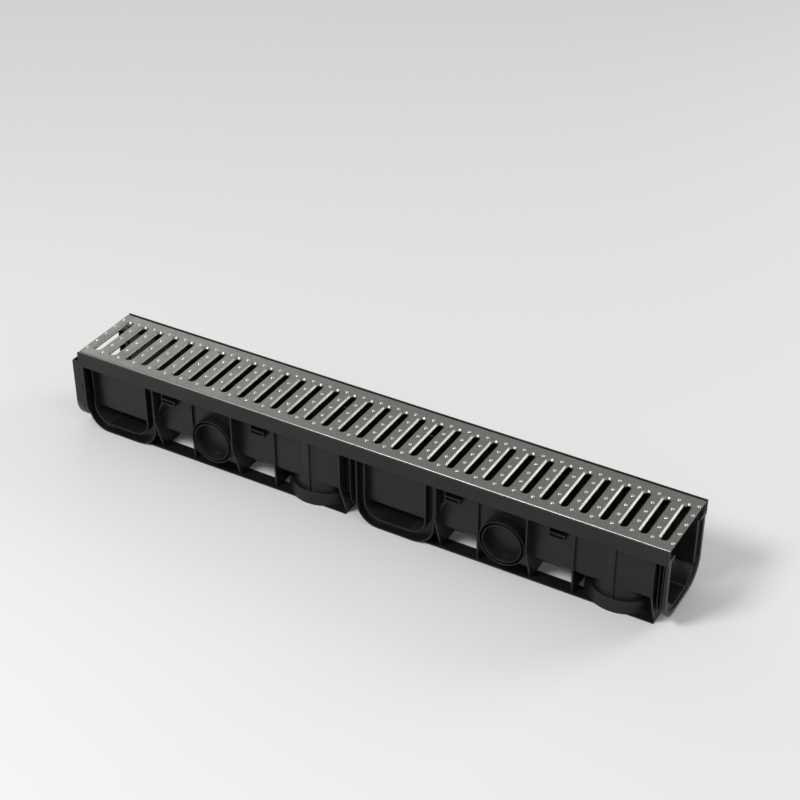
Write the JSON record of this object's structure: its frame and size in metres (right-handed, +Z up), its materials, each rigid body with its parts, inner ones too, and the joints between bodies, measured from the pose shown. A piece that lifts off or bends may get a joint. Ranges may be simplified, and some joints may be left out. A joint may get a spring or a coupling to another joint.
{
  "type": "channel drain",
  "caption": "Black plastic drainage channel with ribbed sides, branch sockets and pipe outlets, covered by a slotted, studded steel grate that lifts straight out.",
  "frame": {"origin": "bottom centre of the bounding box, on the floor under the channel", "axes": "+X along the channel towards its frame end, +Z up, +Y towards its back side"},
  "size_m": [1.0126, 0.1368, 0.145],
  "materials": {
    "black_plastic": "matt moulded polypropylene",
    "steel": "cold-rolled sheet, lightly brushed along its length"
  },
  "bodies": {
    "channel": {"channel_body": "black_plastic"},
    "cover": {"grate": "steel"}
  },
  "joints": [
    {"name": "grate_lift", "type": "slide", "parent": "channel", "child": "cover", "axis": [0, 0, 1], "range_m": [0, 0.1636]}
  ]
}
